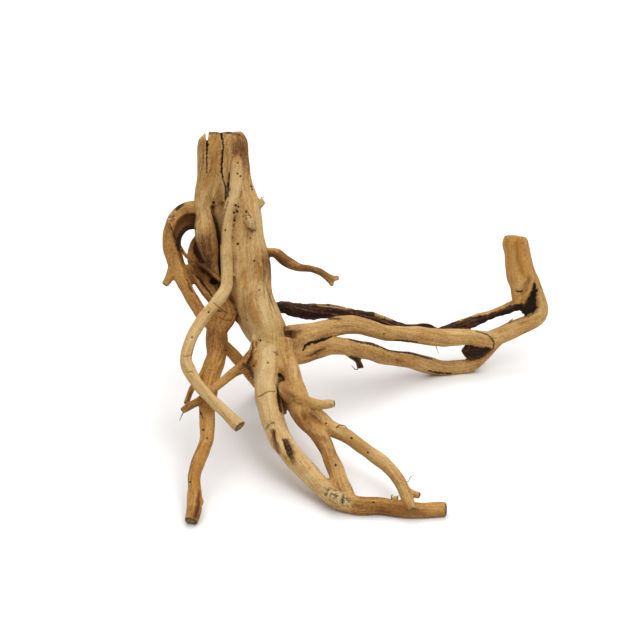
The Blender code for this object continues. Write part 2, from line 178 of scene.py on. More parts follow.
def grow(name, rows, tone, warmth, rot=0):
    """One limb: a core with strands that wind round it, or a plain tube if it is thin."""
    places, radii = smooth_course(rows, SKIN_ALLOWANCE)
    ways = side_directions(places)
    steps = [0] + [(b - a).length for a, b in zip(places, places[1:])]
    limbs.append({
        "name": name, "tone": tone, "warmth": warmth, "rot": rot, "radii": np.array(radii),
        "places": np.array(places), "ways": np.array(ways), "along": np.cumsum(steps),
    })
    thickest = max(thick for across, up, back, thick in rows)
    if thickest < FLUTED_FROM:
        add_tube(root_tubes, places, radii)
        return
    add_tube(root_tubes, places, [radius * CORE_SHARE for radius in radii])
    strands = STRANDS_THIN if thickest < THICK_FROM else STRANDS_THICK
    start_angle = limb_draw.uniform(0, math.tau)
    for strand in range(strands):
        spacing = limb_draw.uniform(-SPACING_SPREAD, SPACING_SPREAD)
        angle = start_angle + math.tau * strand / strands + spacing
        beat = limb_draw.uniform(*SWELLS_PER_MM) * COURSE_STEP
        strand_places, strand_radii = [], []
        for i, (place, radius, (ahead, side, over)) in enumerate(zip(places, radii, ways)):
            wander = STRAND_WANDER * math.sin(beat * i + angle)
            turn = angle + FIBRE_TWIST * COURSE_STEP * i + wander
            swell = 1 + STRAND_SWELL * math.sin(beat * i + strand)
            strand_radius = radius * STRAND_SHARE * swell
            offset = side * math.cos(turn) + over * math.sin(turn)
            strand_places.append(place + offset * (radius - strand_radius))
            strand_radii.append(strand_radius)
        add_tube(root_tubes, strand_places, strand_radii)


root_tubes = new_tubes("root_wood")
for name, rows in TRUNK.items():
    grow(name, rows, tone=0, warmth=0.2)

# The front root: thinner and paler, of rubbed young wood. It is fused to the trunk's face,
# then swings out in front of the legs and ends in a rounded cut.
FRONT_ROOT = [
    (-83, 162, -7, 9), (-83, 155, -12, 12), (-83.5, 142, -14.5, 12.5), (-85, 130, -16, 12),
    (-87.5, 120, -16.5, 12), (-90.5, 110, -16, 11.5), (-92.5, 99, -15.2, 11), (-94, 84, -14.5, 10.7),
    (-93.7, 70, -14, 11.4), (-93, 45, -15, 12), (-94.5, 31, -18, 12.5), (-103, 18, -24, 12.5),
    (-113, 7, -29, 12), (-120.5, -4, -34, 12), (-128.5, -18, -40, 12), (-133, -32, -46, 12),
    (-134, -41, -51, 12), (-130.5, -51, -56, 13), (-124, -62, -62, 12), (-113, -75, -68, 11.5),
    (-103, -85, -74, 11.5), (-91, -96, -80, 12.5), (-80, -107, -86, 13),
]

grow("front_root", FRONT_ROOT, tone=0.16, warmth=0.1)

# The left side: a half-round arch with a broken stub, a rotted panel behind it, and a long
# splinter that has come away along both.
LEFT_SIDE = {
    "arch": [
        (-112, 103, 14, 26), (-127, 105, 14, 28.5), (-138.5, 100.5, 14, 26.5), (-146.5, 87, 14, 21),
        (-148, 72, 13, 18), (-144.5, 58, 12, 17.5), (-140, 46, 10, 15.5), (-136, 37, 7, 13.5),
        (-131.2, 27, 4, 12.5), (-123.3, 13.5, -1, 12.5), (-116.5, 4, -4, 13), (-108, -5, -5, 13),
    ],
    "arch_stub": [(-146, 52, 10, 12), (-151, 42, 8, 9), (-155.5, 35, 7, 6.5)],
    "panel": [
        (-112, 84, 24, 20), (-119.7, 72, 24, 22.5), (-121.7, 60, 21, 22), (-117.5, 48, 18, 18),
        (-110.5, 37, 14, 16), (-104, 27, 10, 16), (-97, 16, 5, 16), (-92, 6, 0, 18), (-97, -4, -3, 17),
        (-101, -14, -6, 13), (-103, -26, -11, 9),
    ],
    "panel_strand": [
        (-131, 56, 12, 6), (-128, 46, 10, 6.5), (-122.8, 37.5, 8, 7), (-117, 29.3, 6, 7),
        (-110, 20.5, 4, 6.5), (-103, 11, 2, 7),
    ],
    "arch_splinter": [
        (-152, 101, 3, 3.4), (-145, 85, 1, 3.4), (-136, 67, 1.5, 3.4), (-131, 62.5, 3, 4.5),
        (-119, 55, 1, 3.2), (-109, 47.5, -4, 3.2), (-99, 39, -5, 3.2),
    ],
}

for name, rows in LEFT_SIDE.items():
    tone = -0.3 if name == "arch_splinter" else -0.06
    grow(name, rows, tone, warmth=0.8)

# The legs under the trunk: the left one, a hidden back one, a loose strand beside the left
# leg, and a cross twig that starts as a sheaf of splinters.
LEGS = {
    "left_leg": [
        (-101, 8, 0, 17), (-103, -7, -2, 20), (-103, -20, -7, 22.5), (-103.5, -33, -16, 21),
        (-105, -43, -24, 20), (-109, -57, -34, 18), (-111.5, -75, -46, 17), (-112.6, -95, -60, 16),
        (-112.7, -117, -75, 14), (-116.2, -129, -83, 13.5), (-121.6, -141, -91, 14),
        (-124.7, -150, -97, 12.5), (-126.3, -159, -103, 12.5), (-125.6, -168, -109, 13),
        (-125.5, -177, -115, 14.5), (-126, -188, -122, 15.5), (-129.5, -201.5, -130, 13.5),
    ],
    "left_leg_spur": [(-121, -179, -117, 8), (-117.5, -184, -120, 4)],
    "back_leg": [
        (-98, -24, 0, 12), (-87, -34, 12, 11.5), (-76, -47, 38, 11), (-65, -60, 66, 12),
        (-54, -69.5, 91, 15),
    ],
    "leg_strand": [(-111, -37, -22, 6), (-119, -54, -34, 4), (-128, -68, -44, 5.5), (-134, -84, -52, 5.5)],
    "cross_twig": [
        (-60, -28, -4, 17), (-67, -36.5, -15, 14.5), (-78, -46, -32, 10.5), (-92, -57, -45, 9),
        (-107, -69, -53, 8.5), (-120, -80, -56, 7.5), (-130, -85.5, -56, 7.5), (-138, -91, -56, 6),
    ],
    "cross_twig_strand": [
        (-66, -16, -11, 4), (-68, -28, -18, 4.5), (-71.5, -37.5, -27, 5), (-81, -47, -37, 5),
    ],
    "cross_twig_sheaf": [(-60, -38, -8, 9), (-67, -46, -16, 8), (-75, -50, -28, 5.5), (-84, -54, -38, 4)],
}

for name, rows in LEGS.items():
    grow(name, rows, tone=-0.06, warmth=0.85)

# The front legs: two thick pale ones that part below the trunk and meet again in the foot,
# which lies along the floor. A forked limb and a pointed stub spring from the second.
FRONT_LEGS = {
    "first_front_leg": [
        (-52, -24, -2, 31), (-54, -40, -10, 27), (-53, -55, -20, 26), (-53, -70, -31, 25),
        (-51, -84, -42, 24.5), (-48.5, -95, -50, 24), (-45, -107, -58, 24), (-40.3, -118.3, -66, 23),
        (-32.5, -129, -73, 22.5), (-24, -140, -82, 21.5), (-15.5, -149, -88, 21), (-7, -157.5, -95, 20),
        (2.5, -166.5, -101, 19.5), (12, -175, -107, 20), (22, -180.5, -110, 20), (33, -184, -112, 18.5),
    ],
    "foot": [
        (22, -181, -110, 18), (38, -185, -112, 19), (50, -186, -113, 18), (63, -186, -113, 17.5),
        (75, -188, -115.5, 17), (89, -190, -117, 16), (102, -190.3, -117.5, 15), (115, -189.6, -116.5, 15),
        (126, -189.3, -115.5, 14),
    ],
    "leg_splinter": [(-44, -113, -74, 4), (-40, -123, -83.5, 6), (-35, -134, -92, 6), (-31, -142, -98, 4)],
    "foot_knot": [(9, -176, -114, 14), (22, -179, -118, 13)],
    "foot_bud": [(73, -183, -118, 8), (76, -176, -118, 4.5)],
    "second_front_leg": [
        (-40, -22, -2, 27), (-37, -34, -8, 23), (-31.5, -50, -20, 21), (-27, -65, -32, 21),
        (-22, -81, -44, 25), (-15.5, -95, -54, 23.5), (-6.5, -107.5, -63, 19), (1.5, -119.5, -72, 17),
        (7, -129, -77, 16), (11, -139, -84, 17), (16, -150, -91, 17), (19, -160, -98, 17.5),
        (23, -170, -105, 18), (28, -178, -110, 16),
    ],
    "forked_limb": [
        (-16, -88, -48, 20), (-10, -94, -53, 20), (-1.5, -99.5, -57, 19), (8, -107, -62, 16.5),
        (18.5, -112, -66, 15.5), (28.5, -117.5, -70, 14.5), (39.5, -125.5, -76, 14),
        (50.5, -133.7, -82, 13.5), (61.5, -141.5, -88, 13.5), (71, -150, -95, 13), (78, -159, -102, 12.5),
        (82.5, -167, -109, 12), (86.5, -176, -117, 12), (90, -184, -124, 10), (93, -190, -128, 6.5),
    ],
    "forked_limb_bud": [(86, -171, -112, 8), (94, -174, -116, 7), (100, -175.5, -118, 6.5)],
    "front_stub": [
        (-38, -63, -36, 6), (-34, -73, -46, 14), (-24, -78, -54, 14), (-12, -82, -58, 12),
        (0, -84.5, -60, 10), (8, -84, -62, 9.5), (15, -83.5, -63.5, 6.5),
    ],
    "crotch_core": [(-40.5, -62, -22, 7), (-39, -75, -31, 8), (-37.5, -88, -42, 7), (-36, -94, -47, 4)],
}
# Tone and warmth of the ones that differ from the rest; the foot's darker tone is painted shade on its side
# turned down
FRONT_LEG_TONES = {
    "first_front_leg": (0.15, 0.1), "leg_splinter": (0.1, 0.4), "forked_limb": (0.05, 0.35),
    "front_stub": (0.1, 0.55), "foot": (-0.14, 0.85),
}

for name, rows in FRONT_LEGS.items():
    tone, warmth = FRONT_LEG_TONES.get(name, (0.0, 0.5))
    grow(name, rows, tone, warmth, rot=0.9 if name == "crotch_core" else 0)

# The right-hand limbs: two of sound golden wood that part and meet again, a dark decayed one
# above them with its fibres bare, the upright limb that all three end in, and a far twig.
RIGHT_SIDE = {
    "under_strip": [(-92, 8, 8, 8), (-80, -2, 12, 5), (-68, -18, 14, 6), (-56, -28, 16, 12)],
    "upper_limb": [
        (-62, -20, 14, 30), (-40, -22, 16, 32), (-24, -18, 22, 28), (-8, -14, 32, 22), (6, -9, 42, 19.5),
        (20, -5.5, 52, 19.5), (36, -5, 61, 18), (50, -8, 69, 17), (64, -12.5, 77, 15.5), (78, -13.5, 85, 15),
        (93, -14.5, 93, 17), (107, -16.5, 101, 18), (121, -18, 107, 18), (135, -17.5, 112, 17),
        (150, -17, 117, 15.5), (164, -19, 121, 16.5), (176, -20, 123, 18),
    ],
    "lower_limb": [
        (-38, -32, 14, 28), (-22, -34, 20, 23), (-6, -30, 28, 19), (10, -26, 36, 18.5), (25, -26.5, 44, 17),
        (38, -29, 52, 18), (52, -32, 62, 18), (66, -36.5, 73, 16.5), (79, -38.5, 85, 15.5),
        (93, -40.5, 99, 16.5), (105, -44.5, 112, 17), (117, -47.5, 121, 16), (129, -48, 125, 15.5),
        (141, -47, 127, 14.5), (152, -44.5, 127, 13), (160, -40, 127, 11), (167, -33, 127, 10),
        (173, -26, 127, 10), (182, -18, 127, 10), (192, -11, 127, 9),
    ],
    "limb_web": [
        (146, -27, 121, 9), (150, -31.5, 124, 15), (157, -32, 126, 16), (166, -28.5, 127, 13),
        (177, -20, 126, 10),
    ],
    "hanging_splinter": [(27, -31, 46, 8), (34, -36, 49, 8), (38.5, -42, 51, 6), (40, -48, 52, 6.5)],
    "splinter_fork": [(40, -46, 52, 5), (44, -46.5, 53, 3)],
    "decayed_limb": [
        (-62, 10, 28, 13), (-46, 11, 36, 12), (-36, 13, 41, 13), (-26, 10, 46, 14), (-9, 8.5, 58, 16),
        (10, 8.5, 69, 15), (25, 5.5, 78, 14.5), (40, 2, 87, 15), (56, -1, 95, 15), (72, -6.5, 103, 13.5),
        (89, -10.5, 111, 13), (105, -10, 116, 14), (117, -14.5, 119, 14), (129, -11, 122, 13),
        (141, -6, 124, 13.5), (153, -1.5, 126, 12), (166, 3.5, 127, 9.5), (178, 8.5, 128, 9),
        (192, 13.5, 128, 11), (203, 17.5, 127, 14),
    ],
    "heel": [
        (168, -20, 124, 18), (183, -14, 126, 17.5), (198, -7, 127, 17), (211, -1.5, 128, 17),
        (219.8, 4, 128, 15.5), (222.8, 12, 128, 11.5), (220.5, 22, 127, 10.5), (216.5, 32, 125.5, 11.5),
        (211.5, 42, 124, 13.5), (207.5, 50, 122, 11),
    ],
    "upright_limb": [
        (196.3, 81.2, 120.8, 25.5), (195.6, 77, 119.8, 27), (197, 70, 119, 26.5), (198, 62, 119.5, 27),
        (199.5, 50, 121, 29), (202, 41, 122, 29), (201.5, 31, 122, 22), (199.5, 23, 122, 16),
        (199, 17, 123, 11),
    ],
    "cavity_core": [(214.5, 37, 129, 6), (211.5, 27, 131, 13), (209, 16, 132, 16), (205, 6, 130, 10)],
    "far_twig": [
        (-60, 68, 12, 12), (-50, 67.5, 10, 8.5), (-43, 66.5, 7, 10), (-37, 61, 4, 11), (-30, 56.5, 1, 10.5),
        (-21, 52.5, -2, 8), (-9, 51, -5, 7), (0, 48, -8, 7.5), (7, 44, -10, 7), (14, 41.5, -11, 6),
        (19, 42.5, -12, 4.5),
    ],
    "far_twig_fork": [(5, 44, -9, 6), (11, 37.5, -10, 5), (12.5, 34, -10, 4)],
}
ROTTED = {
    "decayed_limb": 1.0, "limb_web": 1.0, "hanging_splinter": 1.0, "splinter_fork": 1.0,
    "under_strip": 0.6, "cavity_core": 1.0,
}

for name, rows in RIGHT_SIDE.items():
    warmth = 1.0 if name == "upright_limb" else 0.45
    grow(name, rows, tone=0.02, warmth=warmth, rot=ROTTED.get(name, 0))

# The hollows and splits: rot and wear have opened them in the sound wood, and drying has
# split the trunk from its cut top. They are cut out of the melted limbs.
HOLLOWS = {
    "beside_front_root": [(-90.5, 145, -10, 3), (-92, 136, -10, 6), (-93, 127, -11, 3)],
    "arch_trough": [
        (-125, 97, 3, 19), (-131, 97, 2, 20), (-138, 90.5, 1, 15), (-141, 80, 3, 10), (-138.5, 69, 5, 5),
    ],
    "arch_top_hole": [(-142.5, 114, 0, 6), (-141, 116, 10, 5)],
    "panel_pit": [(-124.5, 77, 13, 6), (-121, 69, 13, 11), (-117.5, 61, 11, 7)],
    "panel_lower_pit": [(-119.5, 53.5, 10, 4), (-115.5, 50.5, 9, 7), (-111.5, 47, 8, 4)],
    "panel_hole": [(-106, 39.5, 2, 9), (-106.5, 38.5, 10, 7)],
    "crotch_above_stub": [(-41, -54, -25, 3), (-37, -60, -33, 5), (-31, -68, -39, 3.5)],
    "crotch_beside_stub": [(-41, -66, -36, 4), (-40, -78, -46, 6), (-38, -90, -56, 5)],
    "leg_knot_hole": [(-34, -120, -80, 3), (-31.5, -129, -86, 5.6), (-29, -140, -93, 3)],
    "limb_knot_hole": [(-36, -12, 2, 8), (-28, -14, 6, 8)],
    "lobe_wedge": [
        (-107, 113, 1, 3), (-104.5, 103, 2, 6), (-102, 84, 2, 8.5), (-100.5, 62, 2, 8.5), (-99.5, 46, 1, 6),
    ],
    "leg_side_pit": [(-46, -112, -72, 4), (-44.5, -119, -76, 5.5), (-42, -129, -83, 4)],
}
# Where each split starts and ends on the board, its width at the top, and its two depths
SPLITS = [
    ((-113, 192), (-113, 150), 1.8, -20, 16),
    ((-113.2, 193), (-112.8, 173), 4.2, -20, 50),
    ((-98.3, 192), (-97.6, 150), 1.4, -30, 12),
]
SPLIT_TAPER = 0.25
GROUND_DEPTH, GROUND_REACH = 30, 400
WELD_DISTANCE = 0.01
FIRST_CELL = 1.1


def become_mesh(tubes):
    """The tubes as one mesh object, with their caps welded on."""
    bpy.ops.object.select_all(action="DESELECT")
    tubes.select_set(True)
    bpy.context.view_layer.objects.active = tubes
    bpy.ops.object.convert(target="MESH")
    bpy.ops.object.mode_set(mode="EDIT")
    bpy.ops.mesh.select_all(action="SELECT")
    bpy.ops.mesh.remove_doubles(threshold=WELD_DISTANCE * MM)
    bpy.ops.object.mode_set(mode="OBJECT")
    return tubes


def finish_with(piece, kind, **settings):
    """Applies one modifier to the piece."""
    bpy.context.view_layer.objects.active = piece
    step = piece.modifiers.new(kind, kind)
    for key, value in settings.items():
        setattr(step, key, value)
    bpy.ops.object.modifier_apply(modifier=step.name)


def block(name, corner_place):
    """A block, each of its corners put where corner_place sends that of a cube."""
    bpy.ops.mesh.primitive_cube_add(size=2)
    shape = bpy.context.object
    shape.name = name
    for corner in shape.data.vertices:
        corner.co = corner_place(corner.co) * MM
    return shape


def blade(top, bottom, width, near, far):
    """A blade that cuts one split, narrower at its bottom."""
    def corner_place(corner):
        across, up = top if corner.z > 0 else bottom
        half = width / 2 if corner.z > 0 else width / 2 * SPLIT_TAPER
        return on_board(across + half * corner.x, up, far if corner.y > 0 else near)

    return block("split", corner_place)


def ground_corner(corner):
    return Vector((GROUND_REACH * corner.x, GROUND_REACH * corner.y, GROUND_DEPTH * (corner.z - 1)))


root_wood = become_mesh(root_tubes)
finish_with(root_wood, "REMESH", mode="VOXEL", voxel_size=FIRST_CELL * MM)

cutters = []
for name, rows in HOLLOWS.items():
    tubes = new_tubes(name)
    add_tube(tubes, *smooth_course(rows, 0))
    cutters.append(become_mesh(tubes))
cutters += [blade(*split) for split in SPLITS]
cutters.append(block("ground", ground_corner))
for tool in cutters:
    finish_with(root_wood, "BOOLEAN", operation="DIFFERENCE", solver="MANIFOLD", object=tool)
    bpy.data.objects.remove(tool)

# The skin: the melted limbs are covered again in fine even facets.
SKIN_CELL = 0.85
finish_with(root_wood, "REMESH", mode="VOXEL", voxel_size=SKIN_CELL * MM)
finish_with(root_wood, "SMOOTH", factor=0.5, iterations=2)


def read_rows(rows, key, width=3, kind=float):
    """What a mesh keeps under that key for each of these rows."""
    flat = np.zeros(len(rows) * width, kind)
    rows.foreach_get(key, flat)
    return flat.reshape(-1, width)


def skin_normals():
    return read_rows(root_wood.data.vertex_normals, "vector", kind=np.float32)


# The fibres: each point of the skin belongs to the limb whose surface is nearest, and has a
# place among that limb's own fibres, so that the grain runs as the limb grew.
LIMB_MARGIN = 5
FIBRE_SHIFT = 61
THINNEST_RADIUS = 0.5
FAR = 1e9


def place_in_limb(number, points):
    """Each point's place in the limb's fibres, its height over its skin and over its end."""
    limb = limbs[number]
    gaps = np.linalg.norm(points[:, None] - limb["places"], axis=2) - limb["radii"]
    closest = gaps.argmin(1)
    ahead, side, over = limb["ways"][closest].transpose(1, 0, 2)
    away = points - limb["places"][closest]
    past = (away * ahead).sum(1)
    out = away - past[:, None] * ahead
    last = len(limb["radii"]) - 1
    beyond = np.where(closest == 0, -past, np.where(closest == last, past, -FAR))
    off_middle = np.linalg.norm(out, axis=1)
    height = np.maximum(off_middle - limb["radii"][closest], beyond)
    along = limb["along"][closest] + past
    turn = FIBRE_TWIST * along
    across = (out * side).sum(1)
    up = (out * over).sum(1)
    x = across * np.cos(turn) + up * np.sin(turn) + FIBRE_SHIFT * number
    y = up * np.cos(turn) - across * np.sin(turn)
    share = off_middle / np.maximum(limb["radii"][closest], THINNEST_RADIUS)
    return np.stack([x, y, along, share], 1), height, beyond


def fibre_places(points):
    """Each point's limb, its place in it, its clearance from others and height over its end."""
    owner = np.zeros(len(points), int)
    fibre = np.zeros((len(points), 4))
    best = np.full(len(points), FAR)
    second = np.full(len(points), FAR)
    over_end = np.full(len(points), -FAR)
    for number, limb in enumerate(limbs):
        reach = limb["radii"].max() + LIMB_MARGIN
        low = limb["places"].min(0) - reach
        high = limb["places"].max(0) + reach
        near = np.flatnonzero(((points > low) & (points < high)).all(1))
        place, height, beyond = place_in_limb(number, points[near])
        nearer = height < best[near]
        second[near] = np.where(nearer, best[near], np.minimum(second[near], height))
        won = near[nearer]
        best[won] = height[nearer]
        owner[won] = number
        fibre[won] = place[nearer]
        over_end[won] = beyond[nearer]
    return owner, fibre, second - best, over_end


def of_limb(key):
    """What is written down for the limb of each point."""
    return np.array([limb[key] for limb in limbs])[owner]


def wavy(points, across, along):
    """Smooth noise between -1 and 1 with that many waves in a mm across and along."""
    scaled = points[:, :3] * (across, across, along)
    return np.array([noise.noise(point) for point in scaled.tolist()])


def step_between(low, high, value):
    """0 at low, 1 at high, and smooth between them."""
    t = np.clip((value - low) / (high - low), 0, 1)
    return t * t * (3 - 2 * t)


skin_points = read_rows(root_wood.data.vertices, "co") / MM
owner, fibre, clearance, over_end = fibre_places(skin_points)
limb_rot = of_limb("rot")

# The marks that time has left: worm holes, drying cracks, stains, rot and weathered knots, with painted
# shade in the holes, cracks and recesses.
# Each is placed on the surface that shows there, as a row of points across and up, with its
# half width, in mm.
WORM_HOLES = [
    (-82.2, 157.3, 0.8), (-82.4, 146.3, 0.9), (-79.3, 143.8, 0.9), (-68.4, 133.6, 0.8), (-67.5, 130.9, 0.8),
    (-84.1, 114.5, 1.1), (-81.6, 113.3, 0.9), (-85.9, 107.2, 1), (-82.8, 108.5, 1.1), (-73.8, 108.5, 1),
    (-85.6, 99.2, 0.8), (-94.6, 89.8, 0.8), (-82.4, 76, 1.1), (-65.8, 59, 0.9), (-106.3, 117.3, 1.3),
    (-73.5, 0, 0.7), (-59.8, -20.5, 0.9), (-52.1, -42.7, 0.8), (-111.1, 7.8, 0.9), (-127.9, -17.5, 0.8),
    (-116.9, -110, 0.9), (-112.6, -118, 0.8), (-129.9, -162, 0.9), (-94.2, -30.5, 0.9), (15.5, -145, 1.1),
    (31.3, -118.1, 1), (47.6, -132.5, 0.9), (5.9, -103.5, 0.8), (53.3, -182.6, 0.8), (-66, -28, 0.6),
    (-70, 82, 0.7), (-61, 30, 0.8), (64, -14, 0.7),
]
# A crack's points come after its depth in mm and its darkness, which is painted shade in it, a patch's after
# its strength.
CRACKS = [
    (1.6, 0.95, [(-113, 178, 0.7), (-113.4, 160, 0.6), (-113, 147, 0.3)]),
    (2.2, 1, [
        (-98.4, 187, 0.6), (-97.1, 173.6, 0.65), (-98.3, 162, 0.6), (-98.8, 150.6, 0.6), (-97.4, 140.3, 0.6),
        (-94.8, 131, 0.6), (-94.8, 119.6, 0.5),
    ]),
    (0.7, 0.5, [(-62, -77, 0.4), (-58, -75, 0.6), (-53.5, -72.3, 0.5), (-49, -71.4, 0.6), (-45, -72, 0.4)]),
    (0.5, 0.35, [(-55, -110, 0.6), (-51, -105, 0.5), (-46.5, -102, 0.6), (-45, -106, 0.4)]),
    (0.5, 0.35, [(-57, 60, 0.7), (-55.5, 40, 0.9), (-50, 22, 0.8), (-41, 2, 0.5)]),
    (0.4, 0.3, [(-62, 58, 0.6), (-59, 46, 0.9), (-56, 34, 0.8), (-55.5, 22, 0.4)]),
    (1.6, 0.95, [
        (-16.7, -30, 0.5), (-14.5, -26, 0.9), (-9, -23, 1), (-3, -21.4, 1.1), (2, -20, 0.9),
        (11.5, -16.8, 0.5),
    ]),
    (0.8, 0.7, [(-9, -36, 0.4), (-4, -33, 0.8), (2, -30, 0.6)]),
    (0.7, 0.9, [
        (29, -19.3, 0.7), (36, -20.6, 1.1), (45, -22.9, 0.8), (52, -23.8, 1.1), (60, -26.5, 0.8),
        (70, -30, 1), (85, -32.3, 0.7), (97, -34.5, 0.9), (112, -39.5, 0.4),
    ]),
    (0.5, 0.85, [(74, -20, 0.4), (84, -20.8, 1), (97, -22.4, 0.5)]),
    (1.2, 0.9, [(109, -51, 0.5), (119, -53, 1), (131, -53.8, 0.6)]),
    (0.8, 0.9, [(195, 29, 0.3), (199, 28, 0.8), (203, 29, 0.3)]),
    (0.9, 0.8, [(-133, 41, 0.4), (-130, 34, 0.8), (-127, 28, 0.5)]),
    (0.4, 0.4, [(-137, -36.5, 0.4), (-132, -36, 0.5), (-128.5, -35, 0.4)]),
    (0.4, 0.35, [(-133.5, -53, 0.4), (-129, -51.5, 0.5), (-126.5, -53, 0.4)]),
    (0.7, 0.8, [
        (156, -11, 0.4), (167, -14.3, 0.7), (171.4, -17.9, 0.8), (174.3, -23.6, 0.7), (173, -29, 0.5),
    ]),
    (0.7, 0.8, [(-150.5, 96, 0.5), (-146.5, 86, 0.6), (-141, 76, 0.6), (-137, 67, 0.5)]),
    (0.6, 0.6, [(-92.5, 118, 0.5), (-96.3, 106, 0.8), (-98.8, 92, 0.8), (-99.3, 76, 0.5)]),
    (0.6, 0.8, [(-128.5, 49.5, 0.4), (-119.5, 40, 0.6), (-112, 29.5, 0.6), (-106, 21, 0.4)]),
    (0.5, 0.5, [(-106, 17, 0.4), (-98, 10, 0.6), (-91, 6, 0.3)]),
    (0.5, 0.5, [(-101, 3, 0.4), (-94, -1, 0.6), (-88, 0, 0.3)]),
    (0.6, 0.8, [(-37, -119, 0.5), (-34.5, -127, 0.9), (-31, -136, 0.8)]),
    (0.7, 0.8, [(-122, -86, 0.3), (-119.5, -92, 0.7), (-117.5, -99, 0.4)]),
    (0.5, 0.6, [(-128.5, -72, 0.3), (-131.5, -79, 0.6), (-134, -87, 0.3)]),
]
# Black patches: dark rot and holes, and painted shade in deep recesses and under parts that stand out
BLACK_AND_SHADE_PATCHES = [
    (1, [(214, 37, 1), (214.5, 30, 3), (212, 20, 4), (211, 12, 5.2), (205.5, 7, 3), (201, 5, 0.8)]),
    (0.9, [(160, -3, 1.2), (178, 5, 2), (192, 9.5, 2.4), (202, 14, 2.4)]),
    (0.9, [(-38.5, 11, 4.5), (-34, 8, 4), (-29, 4.5, 3)]),
    (0.9, [(-127, 92, 2.5), (-133, 91, 3), (-138.5, 87, 3.2), (-141.5, 79, 2.6), (-141, 70, 1.6)]),
    (0.85, [(-92.6, 138, 0.7), (-91.6, 131, 2), (-93, 124, 1.4)]),
    (0.8, [(-71.5, 92, 0.6), (-67.5, 88.8, 1.2), (-64, 90, 0.8)]),
    (0.7, [(-71.5, 107, 0.5), (-68.5, 103, 0.9)]),
    (0.85, [(-26, 5.5, 2), (-12, 3.5, 2), (4, 3, 2), (20, 1, 1.5)]),
    (0.8, [(149, -34, 3), (158, -34, 4), (167, -29, 2.5)]),
    (0.9, [(-143, 111, 2), (-140.5, 115, 2.2), (-136.5, 116.5, 1.2)]),
    (0.5, [(-8.5, -94, 1.4), (-5.5, -96.5, 1)]),
    (0.85, [(-67, -20, 0.5), (-67.5, -30, 1.1), (-69.5, -38, 1.4), (-72, -44, 1.8)]),
    (0.8, [(-75, -44.5, 1.6), (-69.5, -50, 2.4), (-67, -57, 1.4)]),
    (0.7, [(-112, 186.5, 0.7), (-90, 187, 1), (-80, 185.5, 1)]),
    (0.8, [(126.5, -184, 0.9), (126.5, -195, 0.9)]),
]
RUST_PATCHES = [
    (1, [(-121, -171, 0.9), (-121.8, -184, 3), (-124.5, -197, 2.4)]),
    (0.7, [(-31.5, -121, 2.6), (-29, -132, 4.6), (-27, -142, 2.6)]),
    (0.75, [(-47, -112, 2.2), (-45, -121, 3.2), (-41.5, -133, 2)]),
    (0.5, [(-74, 104, 3), (-70, 98, 4), (-65, 92, 3)]), (0.6, [(-126, 103, 7), (-136, 99, 6)]),
    (0.6, [(-38, -52, 4), (-35, -62, 5), (-33, -72, 4.5), (-26, -78, 3)]),
    (0.6, [(-16, -95, 4), (-8, -97, 6), (0, -102, 3)]), (0.55, [(-4, -116, 2.5), (4, -119, 2.5)]),
    (0.7, [(-38, -12, 3.5), (-29, -13.5, 5.5), (-20, -11, 2.5)]),
    (0.65, [(-14, -36, 1.5), (-4, -32.5, 3), (5, -28.5, 1.8)]),
    (0.75, [(-125, 77, 4), (-120.5, 67, 6), (-117, 59, 4)]), (0.75, [(-120.5, 54, 2.5), (-112, 47, 3.5)]),
    (0.65, [(-109, 42, 5), (-104, 36, 6), (-99, 26, 5)]),
    (0.7, [(-129.5, 50, 2.4), (-124, 36, 2.4), (-118, 28, 2.4), (-106, 15, 3)]),
    (0.5, [(-106, 106, 3), (-103, 86, 5), (-101, 62, 5), (-98, 42, 3)]),
    (0.75, [(-68, -34, 3.5), (-72, -43, 4.5), (-80, -48.5, 2.5)]), (0.4, [(-84, 111.5, 4.5)]),
    (0.45, [(-141, 67, 3), (-137.5, 59, 3)]), (0.5, [(-135, 109, 5), (-126, 110, 4)]),
    (0.5, [(150, -41, 2), (160, -38, 2), (168, -32, 1.5)]),
    (0.5, [(209, 42, 3), (205, 33, 3), (203, 26, 3)]),
    (0.35, [(196, 78, 2), (197.5, 60, 2.5), (202, 48, 2.5)]),
    (0.5, [(64, -188, 6), (84, -190, 5), (104, -194, 3)]),
]
SOUND_PATCHES = [
    (0.9, [(55, 5.5, 1), (64, 3.8, 2.2), (72, 0.8, 1)]),
    (0.9, [(139, -0.5, 1), (150, 4.5, 1.6), (166, 7, 1.6), (180, 12.3, 1.8), (194, 18, 2.4)]),
    (0.5, [(-2, 15, 1.4), (18, 13, 1.8), (34, 11, 1.2)]),
]
ORANGE_STAINS = [
    (1, [(-76, 50, 1.6), (-75, 40, 3), (-73.5, 31, 1.4)]), (1, [(-62, 57, 1.4), (-61.5, 40, 2.2)]),
    (1, [(-68, 14, 2), (-65, 4, 4), (-61, -3, 2.4)]), (0.9, [(-140, 68, 3), (-137, 58, 3)]),
    (1, [(197, 80, 2), (199.5, 62, 3), (204, 46, 3)]), (0.6, [(-14, -98, 7), (0, -106, 6)]),
    (0.7, [(188, 78, 1.5), (190, 58, 2)]), (0.6, [(-44, -45, 3), (-42, -60, 4)]),
    (0.5, [(28, -118, 4), (42, -127, 4)]), (0.7, [(-118, -130, 3), (-124, -150, 4), (-122, -170, 4)]),
    (0.6, [(-30, -76, 6), (-14, -81, 4)]), (0.5, [(78, -184, 4), (92, -185, 3)]),
    (0.5, [(-107, 180, 4), (-105, 150, 4)]),
]
GREY_KNOTS = [
    (0.9, [(8, -172, 5), (18, -177, 6.5), (26, -181, 5)]), (0.9, [(-151, 103, 2.4), (-146, 104, 2.2)]),
    (0.6, [(-57, 114, 2.5)]), (0.6, [(100, -175.5, 3)]), (0.6, [(-72.5, 103, 2.5), (-68, 96, 3)]),
    (0.6, [(-54, -107, 2.4), (-50, -103, 2.4), (-46.5, -104, 1.6)]), (0.5, [(12, -84, 3)]),
]
